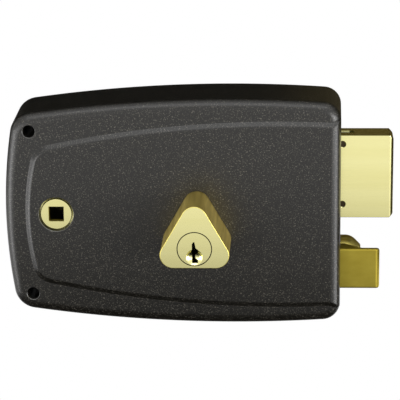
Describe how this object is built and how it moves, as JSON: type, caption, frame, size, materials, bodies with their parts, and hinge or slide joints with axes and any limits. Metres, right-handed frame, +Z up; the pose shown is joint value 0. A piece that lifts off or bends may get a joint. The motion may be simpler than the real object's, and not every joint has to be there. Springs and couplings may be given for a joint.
{
  "type": "rim box lock",
  "caption": "Surface-mounted rim lock: cast case with raised panel, triangular key cylinder, thrown deadbolt, bevelled spring latch with guard plunger, and square spindle follower.",
  "frame": {"origin": "middle of the mounting face that lies on the door", "axes": "+X towards the bolts, +Z up, +Y into the door; the case stands towards -Y"},
  "size_m": [0.1613, 0.0576, 0.0968],
  "materials": {
    "case_paint": "black fine-textured powder coat on cast metal",
    "polished_brass": "pale polished brass",
    "dull_brass": "dull cast brass",
    "zinc_steel": "zinc-plated steel",
    "spring_steel": "spring steel",
    "dark_steel": "oiled steel"
  },
  "bodies": {
    "case": {"case_cover": "case_paint", "back_plate": "zinc_steel", "plate_screws": "zinc_steel", "through_bolt_nuts": "zinc_steel", "cylinder_body": "polished_brass", "cylinder_screws": "zinc_steel", "driver_pins": "spring_steel", "pin_springs": "spring_steel", "chamber_rod": "polished_brass", "bolt_guide_posts": "zinc_steel", "gear_axle": "zinc_steel", "axle_clip": "spring_steel", "latch_guide": "zinc_steel", "plunger_guide": "zinc_steel", "latch_spring": "spring_steel", "plunger_spring": "spring_steel"},
    "deadbolt": {"deadbolt_head": "polished_brass", "deadbolt_tail": "zinc_steel", "bolt_pins": "dark_steel"},
    "latch": {"latch_bolt": "dull_brass", "latch_rod": "zinc_steel", "latch_drawbar": "zinc_steel", "drawbar_pin": "zinc_steel"},
    "plunger": {"guard_plunger": "dull_brass"},
    "follower": {"follower_hub": "polished_brass", "follower_arm": "zinc_steel"},
    "plug": {"key_plug": "polished_brass", "key_pins": "polished_brass", "plug_clip": "spring_steel", "tailpiece": "zinc_steel", "drive_gear": "dark_steel"},
    "reduction": {"reduction_gear": "dark_steel"}
  },
  "joints": [
    {"name": "deadbolt_slide", "type": "slide", "parent": "case", "child": "deadbolt", "axis": [1, 0, 0], "range_m": [-0.02142, 0]},
    {"name": "reduction_turn", "type": "hinge", "parent": "case", "child": "reduction", "pos_m": [-0.00172, -0.01, 0.00442], "axis": [0, 1, 0], "range_deg": [-196.5, 0.1]},
    {"name": "plug_turn", "type": "hinge", "parent": "case", "child": "plug", "pos_m": [0.0103, -0.03, -0.0076], "axis": [0, 1, 0], "range_deg": [-0.1, 360.2]},
    {"name": "latch_slide", "type": "slide", "parent": "case", "child": "latch", "axis": [1, 0, 0], "range_m": [-0.0158, 0], "stiffness_N_per_m": 150, "springref_m": 0.01, "deforming": ["latch_spring"]},
    {"name": "follower_turn", "type": "hinge", "parent": "case", "child": "follower", "pos_m": [-0.048, -0.01, 0], "axis": [0, 1, 0], "range_deg": [-0.1, 50.1]},
    {"name": "plunger_slide", "type": "slide", "parent": "case", "child": "plunger", "axis": [1, 0, 0], "range_m": [-0.008, 0], "stiffness_N_per_m": 120, "springref_m": 0.008, "deforming": ["plunger_spring"]}
  ],
  "couplings": [
    {"joint": "reduction_turn", "follows": "deadbolt_slide", "rad_per_m": 160},
    {"joint": "plug_turn", "follows": "deadbolt_slide", "rad_per_m": -293.33},
    {"joint": "follower_turn", "follows": "latch_slide", "rad_per_m": -55.232}
  ]
}
